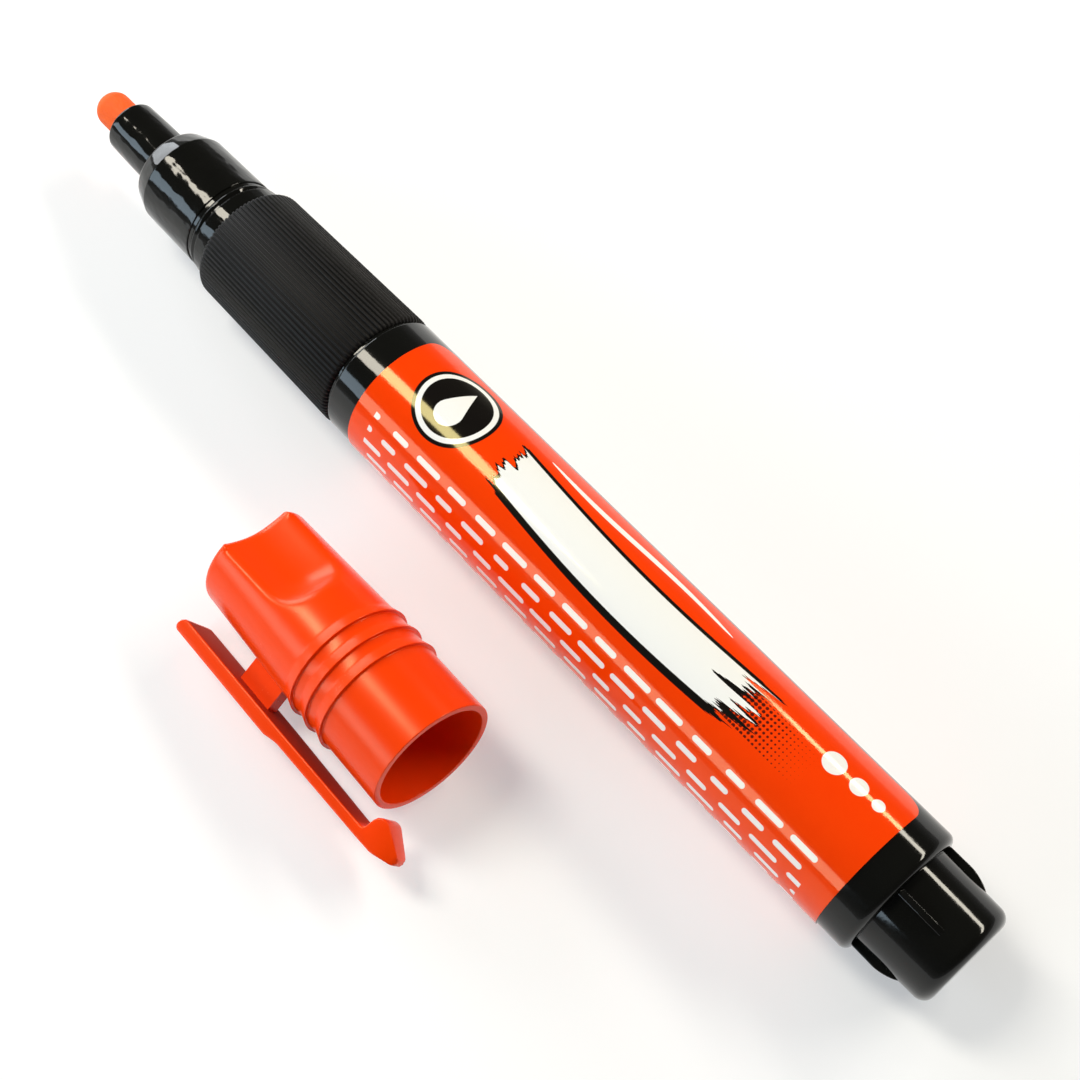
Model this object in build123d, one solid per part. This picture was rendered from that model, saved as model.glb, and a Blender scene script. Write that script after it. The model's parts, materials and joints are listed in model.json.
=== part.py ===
"""Valve-action paint marker lying on a table, with its cap taken off and lying beside it.

Millimetres, +Z up. The pen lies along X with its tail at +X and its nib at -X.
The origin is at the middle of the whole model's base, on the table.
"""
import math
import os

from build123d import *

# Shared gaps and overruns
press_gap = 0.03
running_gap = 0.06
overrun = 1.0

# Tail plug
plug_reach = 8.57
plug_base_radius = 6.05
plug_end_radius = 5.86
plug_edge_radius = 1.3
plug_wall = 1.3
plug_skirt_depth = 10.0
plug_skirt_wall = 1.0
posting_rib_count = 4
posting_rib_height = 0.68
posting_rib_straight = 4.0
posting_rib_length = 5.4
posting_rib_width = 0.75
posting_rib_angle = 17.0

# Barrel
barrel_length = 79.4
barrel_radius = 7.61
barrel_wall = 1.1
barrel_edge_radius = 0.9

# Label film, wrapped round the barrel with a bare strip along one side
label_rear_margin = 3.8
label_front_margin = 3.9
label_thickness = 0.12
label_strip_width = 4.0
label_strip_angle = -68.0
label_corner_radius = 2.6

# Grip sleeve
grip_length = 24.0
grip_rear_radius = 7.67
grip_front_radius = 7.37
grip_bevel_length = 0.5
grip_bevel_depth = 0.45
grip_rib_count = 80
grip_rib_depth = 0.2

# Nose cone
flange_thickness = 0.4
flange_radius = 7.2
sleeve_seat_radius = 6.6
spigot_length = 10.0
ring_length = 2.2
ring_radius = 6.35
ring_line_width = 0.35
ring_line_radius = 6.02
rim_ring_length = 0.75
rim_ring_radius = 6.25
groove_width = 0.5
groove_radius = 6.02
nose_length = 8.7
nose_rear_radius = 6.16
nose_front_radius = 6.05
shoulder_length = 2.7
shoulder_radius = 5.1
shoulder_edge_radius = 0.6
tube_length = 8.6
tube_base_radius = 3.57
tube_tip_radius = 3.36
tube_edge_radius = 0.35
valve_bore_radius = 5.35
chamber_radius = 4.3
chamber_length = 8.0
channel_radius = 2.9
guide_length = 8.0

# Nib
nib_radius = 2.25
nib_edge_radius = 1.8
nib_reach = 5.3
nib_length = 30.0

# Valve stem, seal and seat
nib_travel = 1.8
travel_room = 0.5
cup_depth = 2.2
cup_floor = 1.6
cup_wall = 0.8
stem_radius = 1.2
seat_thickness = 5.0
seat_hole_gap = 0.5
seal_thickness = 0.9
seal_radius = 2.7
seal_gap = 0.03
poppet_radius = 3.0
poppet_thickness = 1.6
pin_radius = 1.0
pin_overhang = 1.4

# Valve spring
spring_length = 8.0
spring_radius = 2.0
spring_wire = 0.5
spring_turns = 5
spring_end_bend = 0.8

# Spring cage
cage_radius = 4.7
cage_wall = 0.8
cage_floor = 1.2
cage_slot_count = 4
cage_slot_width = 2.4
cage_slot_margin = 1.5

# Mixing ball
ball_radius = 3.0
ball_gap = 0.3

# Cap shell
cap_length = 31.0
cap_mouth_radius = 7.18
cap_ring_base_radius = 7.1
cap_end_radius = 6.45
cap_end_edge = 0.8
cap_mouth_edge = 0.25
cap_ring_count = 3
cap_ring_radius = 7.54
cap_ring_width = 1.3
cap_ring_pitch = 2.5
cap_ring_margin = 8.75
cap_bore_gap = 0.04
cap_bore_depth = 15.4
cap_tube_gap = 0.25
cap_tube_depth = 24.5
cap_nib_gap = 0.6
cap_end_wall = 1.2
scoop_angles = (125.0, -125.0)
scoop_cut_radius = 6.5
scoop_length = 11.5
scoop_end_floor = 3.9
scoop_front_floor = 4.85
scoop_front_rounding = 3.4
scoop_rim_rounding = 0.8

# Cap seal
cap_seal_length = 2.9
cap_seal_radius = 5.6
cap_seal_gap = 0.15
cap_seal_groove_depth = 0.6

# Clip
clip_inner_radius = 9.45
clip_width = 5.0
clip_blade_thickness = 1.2
clip_thumb_thickness = 1.65
clip_tail_start = 0.35
clip_tail_thickness = 0.95
clip_tail_ramp = 1.7
clip_tail_rounding = 1.2
clip_thumb_length = 16.4
clip_thumb_blend = 1.7
clip_thumb_rounding = 2.0
clip_hook_start = 0.6
clip_hook_rise = 0.3
clip_hook_height = 2.2
clip_hook_crest = 1.3
clip_hook_rounding = 1.0
clip_hook_width = 3.6
clip_hook_overhang = 5.4
clip_tip_length = 2.6
clip_tip_drop = 0.75
clip_tip_thickness = 0.8
clip_tip_width = 2.4
clip_tip_rounding = 0.9
clip_corner_rounding = 0.35
clip_outer_rounding = 0.3
clip_tilt = 0.1

# Bridge between clip and cap
bridge_start = 9.6
bridge_length = 4.9
bridge_lean = 0.3
bridge_thickness = 1.8

# The cap's place on the table, beside the pen
cap_side_distance = 24.9
cap_mouth_ahead = 35.0
cap_yaw = -1.6

# Stations along the pen, measured from its tail end
barrel_rear = plug_reach
barrel_front = barrel_rear + barrel_length
label_rear = barrel_rear + label_rear_margin
label_front = barrel_front - label_front_margin
label_length = label_front - label_rear
grip_rear = barrel_front + flange_thickness
grip_front = grip_rear + grip_length
ring_front = grip_front + ring_length
rim_ring_rear = ring_front + ring_line_width
rim_ring_front = rim_ring_rear + rim_ring_length
rim_ring_crest = (rim_ring_rear + rim_ring_front) / 2
groove_front = rim_ring_front + groove_width
nose_front = groove_front + nose_length
shoulder_front = nose_front + shoulder_length
tube_front = shoulder_front + tube_length
nib_tip = tube_front + nib_reach
nib_rear = nib_tip - nib_length
cup_rear = nib_rear - cup_floor
seat_front = cup_rear - nib_travel - travel_room
seat_rear = seat_front - seat_thickness
seal_front = seat_rear - seal_gap
poppet_front = seal_front - seal_thickness
poppet_rear = poppet_front - poppet_thickness
cage_inside = poppet_rear - spring_length
cage_rear = cage_inside - cage_floor
spigot_rear = barrel_front - spigot_length
skirt_front = barrel_rear + plug_skirt_depth

# Stations along the cap, measured from its closed end
cap_first_step = cap_length - cap_ring_margin - (cap_ring_count - 1) * cap_ring_pitch
cap_rings_start = cap_first_step - cap_ring_width

# Radii that follow from the pieces they fit
barrel_bore_radius = barrel_radius - barrel_wall
label_inner_radius = barrel_radius + press_gap
label_radius = label_inner_radius + label_thickness
guide_radius = nib_radius + running_gap
stem_hole_radius = stem_radius + seat_hole_gap
cap_bore_radius = ring_radius + cap_bore_gap
cap_tube_radius = tube_base_radius + cap_tube_gap
cap_nib_radius = nib_radius + cap_nib_gap


def turned(*profile):
    """Turn a closed outline of (station, radius) points about the pen's axis."""
    outline = Polyline(*[(-station, radius) for station, radius in profile], close=True)
    return revolve(make_face(outline), Axis.X)


def rod(rear, front, radius):
    """Plain round bar between two stations."""
    return turned((rear, 0), (rear, radius), (front, radius), (front, 0))


def rim(solid, station, radius):
    """The circular edge of a turned piece at a station and radius."""
    def miss(edge):
        return abs(edge.arc_center.X + station) + abs(edge.radius - radius)

    return min(solid.edges().filter_by(GeomType.CIRCLE), key=miss)


def rounded_outline(corners):
    """Closed outline of (x, y, corner radius) points as one face."""
    outline = make_face(Polyline(*[(x, y) for x, y, radius in corners], close=True))
    for x, y, radius in corners:
        corner = min(outline.vertices(), key=lambda point: math.hypot(point.X - x, point.Y - y))
        outline = fillet(corner, radius)
    return outline


def make_nib():
    felt = rod(nib_rear, nib_tip, nib_radius)
    return fillet(rim(felt, nib_tip, nib_radius), nib_edge_radius)


def make_nose_cone():
    cone = turned(
        (tube_front, guide_radius),
        (tube_front - guide_length, guide_radius),
        (tube_front - guide_length, channel_radius),
        (seat_front + chamber_length, channel_radius),
        (seat_front + chamber_length, chamber_radius),
        (seat_front, chamber_radius),
        (seat_front, valve_bore_radius),
        (spigot_rear, valve_bore_radius),
        (spigot_rear, barrel_bore_radius - press_gap),
        (barrel_front, barrel_bore_radius - press_gap),
        (barrel_front, flange_radius),
        (grip_rear, flange_radius),
        (grip_rear, sleeve_seat_radius),
        (grip_front, sleeve_seat_radius),
        (grip_front, ring_radius),
        (ring_front, ring_radius),
        (ring_front, ring_line_radius),
        (rim_ring_rear, ring_line_radius),
        (rim_ring_crest, rim_ring_radius),
        (rim_ring_front, groove_radius),
        (groove_front, groove_radius),
        (groove_front, nose_rear_radius),
        (nose_front, nose_front_radius),
        (shoulder_front, shoulder_radius),
        (shoulder_front, tube_base_radius),
        (tube_front, tube_tip_radius),
    )
    cone = fillet(rim(cone, shoulder_front, shoulder_radius), shoulder_edge_radius)
    return fillet(rim(cone, tube_front, tube_tip_radius), tube_edge_radius)


def make_grip_sleeve():
    def ribbed_section(station, radius):
        corners = []
        for i in range(2 * grip_rib_count):
            reach = radius - grip_rib_depth * (i % 2)
            turn = math.pi * i / grip_rib_count
            corners.append((reach * math.cos(turn), reach * math.sin(turn)))
        section = Plane.YZ.offset(-station)
        return section * make_face(Polyline(*corners, close=True))

    ribbed = loft(
        [ribbed_section(grip_front, grip_front_radius), ribbed_section(grip_rear, grip_rear_radius)],
        ruled=True,
    )
    bore = sleeve_seat_radius + press_gap
    envelope = turned(
        (grip_rear, bore),
        (grip_rear, grip_rear_radius - grip_bevel_depth),
        (grip_rear + grip_bevel_length, grip_rear_radius),
        (grip_front - grip_bevel_length, grip_rear_radius),
        (grip_front, grip_front_radius - grip_bevel_depth),
        (grip_front, bore),
    )
    return ribbed & envelope


def make_barrel():
    tube = turned(
        (barrel_rear, barrel_bore_radius),
        (barrel_rear, barrel_radius),
        (barrel_front, barrel_radius),
        (barrel_front, barrel_bore_radius),
    )
    return fillet(rim(tube, barrel_rear, barrel_radius), barrel_edge_radius)


def make_label_film():
    film = turned(
        (label_rear, label_inner_radius),
        (label_rear, label_radius),
        (label_front, label_radius),
        (label_front, label_inner_radius),
    )
    side = 3 * label_corner_radius
    strip = Rectangle(label_length + overrun, label_strip_width + side)
    for way in (1, -1):
        shift = way * (label_strip_width + side) / 2
        strip -= Pos(0, shift) * RectangleRounded(label_length, side, label_corner_radius)
    middle = (label_rear + label_front) / 2
    cutter = Pos(-middle, 0, 0) * extrude(strip, label_radius + overrun)
    return film - Rot(label_strip_angle, 0, 0) * cutter


def make_tail_plug():
    skirt_radius = barrel_bore_radius - press_gap
    skirt_bore = skirt_radius - plug_skirt_wall
    end_bore = plug_end_radius - plug_wall
    plug = turned(
        (0, 0),
        (0, plug_end_radius),
        (barrel_rear, plug_base_radius),
        (barrel_rear, skirt_radius),
        (skirt_front, skirt_radius),
        (skirt_front, skirt_bore),
        (barrel_rear, end_bore),
        (plug_wall, end_bore),
        (plug_wall, 0),
    )
    plug = fillet(rim(plug, 0, plug_end_radius), plug_edge_radius)
    top = plug_base_radius + posting_rib_height
    straight_end = barrel_rear - posting_rib_straight
    foot = barrel_rear - posting_rib_length
    low = end_bore + (plug_end_radius - end_bore) / 2
    flat_line = Polyline((-foot, low), (-barrel_rear, low), (-barrel_rear, top), (-straight_end, top))
    nose = TangentArc((-straight_end, top), (-foot, plug_end_radius), tangent=(1, 0))
    drop = Line((-foot, plug_end_radius), (-foot, low))
    rib = Plane.XZ * make_face(flat_line + nose + drop)
    rib = extrude(rib, posting_rib_width / 2, both=True)
    for i in range(posting_rib_count):
        plug += Rot(posting_rib_angle + 360 * i / posting_rib_count, 0, 0) * rib
    return plug


def make_valve_stem():
    cup_radius = guide_radius + cup_wall
    stem = turned(
        (nib_rear + cup_depth, guide_radius),
        (nib_rear + cup_depth, cup_radius),
        (cup_rear, cup_radius),
        (cup_rear, stem_radius),
        (poppet_front, stem_radius),
        (poppet_front, poppet_radius),
        (poppet_rear, poppet_radius),
        (poppet_rear, pin_radius),
        (cage_rear - pin_overhang, pin_radius),
        (cage_rear - pin_overhang, 0),
        (nib_rear, 0),
        (nib_rear, guide_radius),
    )
    return stem


def make_valve_seal():
    return turned(
        (poppet_front, stem_radius + press_gap),
        (poppet_front, seal_radius),
        (seal_front, seal_radius),
        (seal_front, stem_radius + press_gap),
    )


def make_valve_seat():
    outer = valve_bore_radius - press_gap
    return turned(
        (seat_rear, stem_hole_radius),
        (seat_rear, outer),
        (seat_front, outer),
        (seat_front, stem_hole_radius),
    )


def make_spring_cage():
    bore = cage_radius - cage_wall
    cage = turned(
        (cage_rear, pin_radius + running_gap),
        (cage_rear, cage_radius),
        (seat_rear, cage_radius),
        (seat_rear, bore),
        (cage_inside, bore),
        (cage_inside, pin_radius + running_gap),
    )
    slot_length = seat_rear - cage_inside - 2 * cage_slot_margin
    slot = Box(slot_length, cage_slot_width, cage_radius, align=(Align.CENTER, Align.CENTER, Align.MIN))
    slot = Pos(-(cage_inside + seat_rear) / 2, 0, bore / 2) * slot
    for i in range(cage_slot_count):
        cage -= Rot(360 * i / cage_slot_count, 0, 0) * slot
    return cage


def biarc(start, start_way, end, end_way):
    """Two arcs that leave start along start_way and reach end along end_way."""
    chord = end - start
    ways = start_way + end_way
    spread = 2 * (1 - start_way.dot(end_way))
    along = chord.dot(ways)
    reach = (math.sqrt(along**2 + spread * chord.dot(chord)) - along) / spread
    first = start + start_way * reach
    second = end - end_way * reach
    middle = (first + second) * 0.5
    return [
        TangentArc(start, middle, tangent=start_way),
        TangentArc(middle, end, tangent=(second - first).normalized()),
    ]


def make_valve_spring():
    """One unbroken wire coil whose two ends stand square on the poppet and the cage floor."""
    end_run = spring_wire + spring_end_bend
    first = -poppet_rear + press_gap
    last = -cage_inside - press_gap
    rise = (last - first - 2 * end_run) / spring_turns

    def on_coil(turns):
        turn = 2 * math.pi * turns
        point = Vector(
            first + end_run + rise * turns, spring_radius * math.cos(turn), spring_radius * math.sin(turn)
        )
        way = Vector(
            rise, -2 * math.pi * spring_radius * math.sin(turn), 2 * math.pi * spring_radius * math.cos(turn)
        )
        return point, way.normalized()

    along = Vector(1, 0, 0)
    stops = [on_coil(i / 2) for i in range(2 * spring_turns + 1)]
    bend = spring_end_bend
    begin = Vector(first + spring_wire, spring_radius, -bend)
    finish = Vector(last - spring_wire, spring_radius, bend)
    path = [Line((first, begin.Y, begin.Z), begin)]
    path += biarc(begin, along, *stops[0])
    for (point, way), (next_point, next_way) in zip(stops, stops[1:]):
        path += biarc(point, way, next_point, next_way)
    path += biarc(*stops[-1], finish, along)
    path.append(Line(finish, (last, finish.Y, finish.Z)))
    wire = Wire([edge for piece in path for edge in piece.edges()])
    print_least_gap(wire)
    section = Plane(wire @ 0, z_dir=along) * Circle(spring_wire / 2)
    return sweep(section, path=wire)


def print_least_gap(wire):
    """Print the least gap of the coil's wire to itself, measured on points along it."""
    count = 50 * spring_turns
    points = [wire @ (i / count) for i in range(count + 1)]
    apart = math.ceil(count * 3 * spring_wire / wire.length)
    least = min(
        (points[i] - points[j]).length for i in range(count + 1) for j in range(i + apart, count + 1)
    )
    print(f"valve spring: least gap to itself {least - spring_wire:.2f} mm")


def make_mixing_ball():
    middle = (skirt_front + spigot_rear) / 2
    drop = barrel_bore_radius - ball_radius - ball_gap
    return Pos(-middle, 0, -drop) * Sphere(ball_radius)


def cap_body_radius(along):
    """Outside radius of the cap between its closed end and its rings."""
    share = along / cap_rings_start
    return cap_end_radius + (cap_ring_base_radius - cap_end_radius) * share


def make_cap_shell():
    """Cap along X: closed end at 0, mouth towards +X, clip side towards +Z."""
    outline = [(0, 0), (0, cap_end_radius)]
    for i in range(cap_ring_count):
        step = cap_first_step + i * cap_ring_pitch
        outline += [
            (step - cap_ring_width, cap_ring_base_radius),
            (step, cap_ring_radius),
            (step, cap_ring_base_radius),
        ]
    seal_depth = cap_bore_depth + cap_seal_length
    nib_depth = cap_length - cap_end_wall
    outline += [
        (cap_length, cap_mouth_radius),
        (cap_length, cap_bore_radius),
        (cap_length - cap_bore_depth, cap_bore_radius),
        (cap_length - cap_bore_depth, cap_seal_radius),
        (cap_length - seal_depth, cap_seal_radius),
        (cap_length - seal_depth, cap_tube_radius),
        (cap_length - cap_tube_depth, cap_tube_radius),
        (cap_length - cap_tube_depth, cap_nib_radius),
        (cap_length - nib_depth, cap_nib_radius),
        (cap_length - nib_depth, 0),
    ]
    shell = revolve(make_face(Polyline(*outline, close=True)), Axis.X)
    shell = fillet(rim(shell, 0, cap_end_radius), cap_end_edge)
    shell = fillet(rim(shell, -cap_length, cap_mouth_radius), cap_mouth_edge)
    slope = math.degrees(math.atan2(scoop_front_floor - scoop_end_floor, scoop_length))
    cut = Cylinder(scoop_cut_radius, scoop_length + overrun, align=(Align.CENTER, Align.CENTER, Align.MAX))
    cut = fillet(cut.edges().filter_by(GeomType.CIRCLE).sort_by(Axis.Z)[-1], scoop_front_rounding)
    cut = Pos(scoop_length, 0, scoop_front_floor + scoop_cut_radius) * Rot(0, 90 - slope, 0) * cut
    for angle in scoop_angles:
        shell -= Rot(angle, 0, 0) * cut
    return fillet(shell.edges().filter_by(GeomType.BSPLINE), scoop_rim_rounding)


def make_cap_seal():
    front = cap_length - cap_bore_depth
    rear = front - cap_seal_length
    outer = cap_seal_radius - press_gap
    inner = tube_base_radius + cap_seal_gap
    middle = (front + rear) / 2
    return turned(
        (-rear, inner),
        (-rear, outer),
        (-front, outer),
        (-front, inner),
        (-middle, inner + cap_seal_groove_depth),
    )


def make_clip_bridge(shell):
    """Web from the cap's side to the clip's inner face."""
    top = clip_inner_radius
    foot = cap_body_radius(bridge_start) / 2
    side = Polyline(
        (bridge_start - bridge_lean, foot),
        (bridge_start, top),
        (bridge_start + bridge_length, top),
        (bridge_start + bridge_length - bridge_lean, foot),
        close=True,
    )
    web = extrude(Plane.XZ * make_face(side), bridge_thickness / 2, both=True)
    core = revolve(
        make_face(
            Polyline(
                (0, 0),
                (0, cap_end_radius),
                (cap_rings_start, cap_ring_base_radius),
                (cap_length, cap_ring_base_radius),
                (cap_length, 0),
                close=True,
            )
        ),
        Axis.X,
    )
    return web - core - shell


def make_cap_clip():
    inner = clip_inner_radius
    blade = inner + clip_blade_thickness
    thumb = inner + clip_thumb_thickness
    crest = inner - clip_hook_height
    start = clip_tail_start
    pad_end = start + clip_thumb_length
    hook = cap_length + clip_hook_start
    crest_start = hook + clip_hook_rise
    crest_end = crest_start + clip_hook_crest
    end = cap_length + clip_hook_overhang
    tip_top = blade - clip_tip_drop
    tip_foot = tip_top - clip_tip_thickness
    side_corners = [
        (start, thumb - clip_tail_thickness, clip_corner_rounding),
        (start + clip_tail_ramp, inner, clip_tail_rounding),
        (hook, inner, clip_corner_rounding),
        (crest_start, crest, clip_hook_rounding),
        (crest_end, crest, clip_hook_rounding),
        (end, tip_foot, clip_corner_rounding),
        (end, tip_top, clip_corner_rounding),
        (end - clip_tip_length, blade, clip_thumb_rounding),
        (pad_end + clip_thumb_blend, blade, clip_thumb_rounding),
        (pad_end, thumb, clip_thumb_rounding),
        (start, thumb, clip_corner_rounding),
    ]
    plan_corners = [
        (start, clip_width / 2, clip_corner_rounding),
        (pad_end, clip_width / 2, clip_thumb_rounding),
        (hook, clip_hook_width / 2, clip_thumb_rounding),
        (end, clip_tip_width / 2, clip_tip_rounding),
    ]
    plan_corners += [(along, -across, radius) for along, across, radius in reversed(plan_corners)]
    body = extrude(Plane.XZ * rounded_outline(side_corners), clip_width, both=True)
    body &= extrude(rounded_outline(plan_corners), thumb + overrun)
    top_edges = [edge for face in body.faces() if face.normal_at().Z > clip_tilt for edge in face.edges()]
    side_edges = [edge for face in body.faces() if is_clip_side(face) for edge in face.edges()]
    rims = [edge for edge in top_edges if any(edge.is_same(other) for other in side_edges)]
    return fillet(rims, clip_outer_rounding)


def is_clip_side(face):
    way = face.normal_at()
    return abs(way.Z) < clip_tilt < abs(way.Y)


def cap_placement():
    """Rest of the cap on its closed end's rim, its first ring and the clip's thumb end."""
    rim_centre = cap_body_radius(cap_end_edge) - cap_end_edge
    apart = cap_first_step - cap_end_edge
    drop = cap_ring_radius - rim_centre
    pitch = math.atan2(drop, apart) - math.asin(cap_end_edge / math.hypot(apart, drop))
    end_height = rim_centre * math.cos(pitch) + cap_end_edge * (1 - math.sin(pitch)) + press_gap
    reach = clip_inner_radius + clip_thumb_thickness - clip_outer_rounding
    half_width = clip_width / 2 - clip_outer_rounding
    low_edge = math.hypot(reach, half_width)
    dip = math.asin((end_height - clip_outer_rounding) / low_edge) - math.atan2(half_width, reach)
    yaw = math.radians(cap_yaw)
    level = cap_length * math.cos(pitch)
    mouth_x = cap_mouth_ahead - label_front
    corner = Pos(
        mouth_x - level * math.cos(yaw), -cap_side_distance - level * math.sin(yaw), end_height - label_radius
    )
    return corner * Rot(0, 0, cap_yaw) * Rot(0, -math.degrees(pitch), 0) * Rot(90 + math.degrees(dip), 0, 0)


def build():
    """All the pieces by name, in the frame whose origin is on the table."""
    pieces = {
        "nib": make_nib(),
        "nose_cone": make_nose_cone(),
        "grip_sleeve": make_grip_sleeve(),
        "barrel": make_barrel(),
        "label_film": make_label_film(),
        "tail_plug": make_tail_plug(),
        "valve_stem": make_valve_stem(),
        "valve_seal": make_valve_seal(),
        "valve_seat": make_valve_seat(),
        "valve_spring": make_valve_spring(),
        "spring_cage": make_spring_cage(),
        "mixing_ball": make_mixing_ball(),
    }
    shell = make_cap_shell()
    cap_pieces = {
        "cap_shell": shell,
        "cap_seal": make_cap_seal(),
        "clip_bridge": make_clip_bridge(shell),
        "cap_clip": make_cap_clip(),
    }
    place = cap_placement()
    for name, piece in cap_pieces.items():
        pieces[name] = place * piece
    box = Compound([piece for piece in pieces.values()]).bounding_box()
    to_table = Pos(-box.center().X, -box.center().Y, label_radius)
    return {name: to_table * piece for name, piece in pieces.items()}


os.makedirs("parts", exist_ok=True)
for node, solid in build().items():
    export_step(solid, f"parts/{node}.step")
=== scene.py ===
"""Looks of a valve-action paint marker and its cap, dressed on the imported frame. Metres, +Z up."""
import json
import math

import bmesh
import bpy
from mathutils import Matrix, Vector


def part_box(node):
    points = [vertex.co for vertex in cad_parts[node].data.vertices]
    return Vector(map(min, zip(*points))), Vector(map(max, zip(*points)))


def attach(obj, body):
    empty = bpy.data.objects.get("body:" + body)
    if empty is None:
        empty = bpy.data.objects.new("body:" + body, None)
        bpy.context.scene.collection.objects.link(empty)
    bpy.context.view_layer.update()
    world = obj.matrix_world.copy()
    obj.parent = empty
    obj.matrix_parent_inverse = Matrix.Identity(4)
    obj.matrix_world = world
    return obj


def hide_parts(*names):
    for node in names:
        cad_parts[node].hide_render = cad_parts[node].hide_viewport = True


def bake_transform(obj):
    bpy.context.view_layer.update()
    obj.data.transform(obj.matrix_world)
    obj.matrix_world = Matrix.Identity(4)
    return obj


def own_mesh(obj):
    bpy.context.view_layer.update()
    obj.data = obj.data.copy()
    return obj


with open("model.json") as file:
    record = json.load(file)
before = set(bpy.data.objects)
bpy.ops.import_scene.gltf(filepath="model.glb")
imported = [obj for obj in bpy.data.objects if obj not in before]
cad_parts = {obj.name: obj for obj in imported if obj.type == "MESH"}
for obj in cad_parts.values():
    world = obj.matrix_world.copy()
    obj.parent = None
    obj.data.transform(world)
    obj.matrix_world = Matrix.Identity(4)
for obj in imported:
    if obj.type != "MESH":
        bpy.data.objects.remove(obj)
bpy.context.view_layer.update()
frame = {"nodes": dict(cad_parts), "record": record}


# Where the pieces lie, read from the frame
def span(node):
    """Lowest and highest x of a CAD node: its front and rear along the pen."""
    low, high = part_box(node)
    return low[0], high[0]


def named(items, name):
    """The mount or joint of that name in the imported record."""
    return next(item for item in items if item["name"] == name)


barrel_low, barrel_high = (Vector(corner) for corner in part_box("barrel"))
pen_axis = (barrel_low + barrel_high) / 2
pen_axis.x = 0
nib_tip, nib_rear = span("nib")
tube_tip, spigot_rear = span("nose_cone")
grip_front, grip_rear = span("grip_sleeve")
barrel_front, barrel_rear = span("barrel")
label_front, label_rear = span("label_film")
skirt_front, tail_end = span("tail_plug")

# Radii and lengths of the pen's visible pieces
NIB_RADIUS = 0.00225
NIB_EDGE = 0.0018
TUBE_TIP_RADIUS = 0.00336
TUBE_BASE_RADIUS = 0.00357
TUBE_LENGTH = 0.0086
TUBE_EDGE = 0.00035
TUBE_TIP_FLARE = 0.00002
TUBE_BASE_FLARE = 0.00001
GUIDE_RADIUS = 0.00231
FUNNEL_FRONT_RADIUS = 0.0028875
FUNNEL_REAR_RADIUS = 0.003696
SHOULDER_RADIUS = 0.0051
SHOULDER_LENGTH = 0.0027
SHOULDER_EDGE = 0.0006
NOSE_FRONT_RADIUS = 0.00605
NOSE_REAR_RADIUS = 0.00616
NOSE_EDGE = 0.00008
GROOVE_RADIUS = 0.00602
GROOVE_WIDTH = 0.0005
RIM_RING_RADIUS = 0.00625
RIM_RING_LENGTH = 0.00075
RING_LINE_RADIUS = 0.00602
RING_LINE_WIDTH = 0.00035
RING_RADIUS = 0.00635
RING_LENGTH = 0.0022
SLEEVE_SEAT_RADIUS = 0.0066
FLANGE_RADIUS = 0.0072
SPIGOT_RADIUS = 0.00648
SPIGOT_BORE = 0.00535
GRIP_REAR_RADIUS = 0.00767
GRIP_FRONT_RADIUS = 0.00737
GRIP_BEVEL_LENGTH = 0.0005
GRIP_BEVEL_DEPTH = 0.00045
GRIP_RIB_DEPTH = 0.0002
GRIP_RIB_COUNT = 80
GRIP_RIB_MERGE = 1e-6
BARREL_RADIUS = 0.00761
BARREL_BORE = 0.00651
BARREL_REAR_EDGE = 0.0009
BARREL_FRONT_EDGE = 0.0003
LABEL_RADIUS = 0.00776
LABEL_THICKNESS = 0.00012
LABEL_CORNER = 0.0026
LABEL_TOP_EDGE_ANGLE = math.radians(53.1)
LABEL_WRAP_ANGLE = math.radians(330.2)
LABEL_STRIPS = 165
PLUG_BASE_RADIUS = 0.00605
PLUG_END_RADIUS = 0.00586
PLUG_EDGE = 0.0013
PLUG_WALL = 0.0013
PLUG_SKIRT_WALL = 0.001
POSTING_RIB_COUNT = 4
POSTING_RIB_TOP = 0.00673
POSTING_RIB_STRAIGHT = 0.004
POSTING_RIB_LENGTH = 0.0054
POSTING_RIB_WIDTH = 0.00075
POSTING_RIB_EDGE = 0.00012
POSTING_RIB_ANGLE = math.radians(17)
POSTING_RIB_RIM_ANGLE = 1.0
SPRING_WIRE = 0.0005
SPRING_TURNS = 5
SPRING_TURN_STEPS = 40
SPIN_STEPS = 192
NIB_SPIN_STEPS = 96
MERGE = 1e-8

# Half a rib of the grip, from its crest to the groove, as shares of half the pitch and of the depth
GRIP_RIB_SHARES = [(0, 0), (0.28, 0.03), (0.42, 0.2), (0.62, 0.96), (1, 1)]

# The rounded step in the grip's bevels, as shares of their length and depth
GRIP_BEVEL_LENGTH_SHARE = 0.3
GRIP_BEVEL_DEPTH_SHARE = 0.4

# Sizes of the cap, along its own axis from its closed end
CAP_LENGTH = 0.031
CAP_MOUTH_RADIUS = 0.00716
CAP_MOUTH_EDGE = 0.0001
CAP_END_RADIUS = 0.00645
CAP_END_EDGE = 0.0008
CAP_RING_BASE_RADIUS = 0.0071
CAP_RING_RADIUS = 0.0075
CAP_RING_WIDTH = 0.0013
CAP_RING_PITCH = 0.0025
CAP_RING_STEPS = 3
CAP_FIRST_STEP = 0.01725
CAP_RING_CREST_EDGE = 0.00012
CAP_RING_FOOT_EDGE = 0.0002
CAP_RING_STEP_EDGE = 0.0001
CAP_SEAL_RADIUS = 0.0056
CAP_SEAL_LENGTH = 0.0029
CAP_TUBE_RADIUS = 0.00382
CAP_TUBE_DEPTH = 0.0245
CAP_NIB_RADIUS = 0.00285
CAP_END_WALL = 0.0012
CAP_SKIN_SHARE = 0.9
CAP_SPIN_STEPS = 288
SCOOP_ANGLE = math.radians(125)
SCOOP_LENGTH = 0.0115
SCOOP_END_FLOOR = 0.0039
SCOOP_FRONT_FLOOR = 0.00485
SCOOP_CUT_RADIUS = 0.0065
SCOOP_FRONT_ROUNDING = 0.0034
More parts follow.
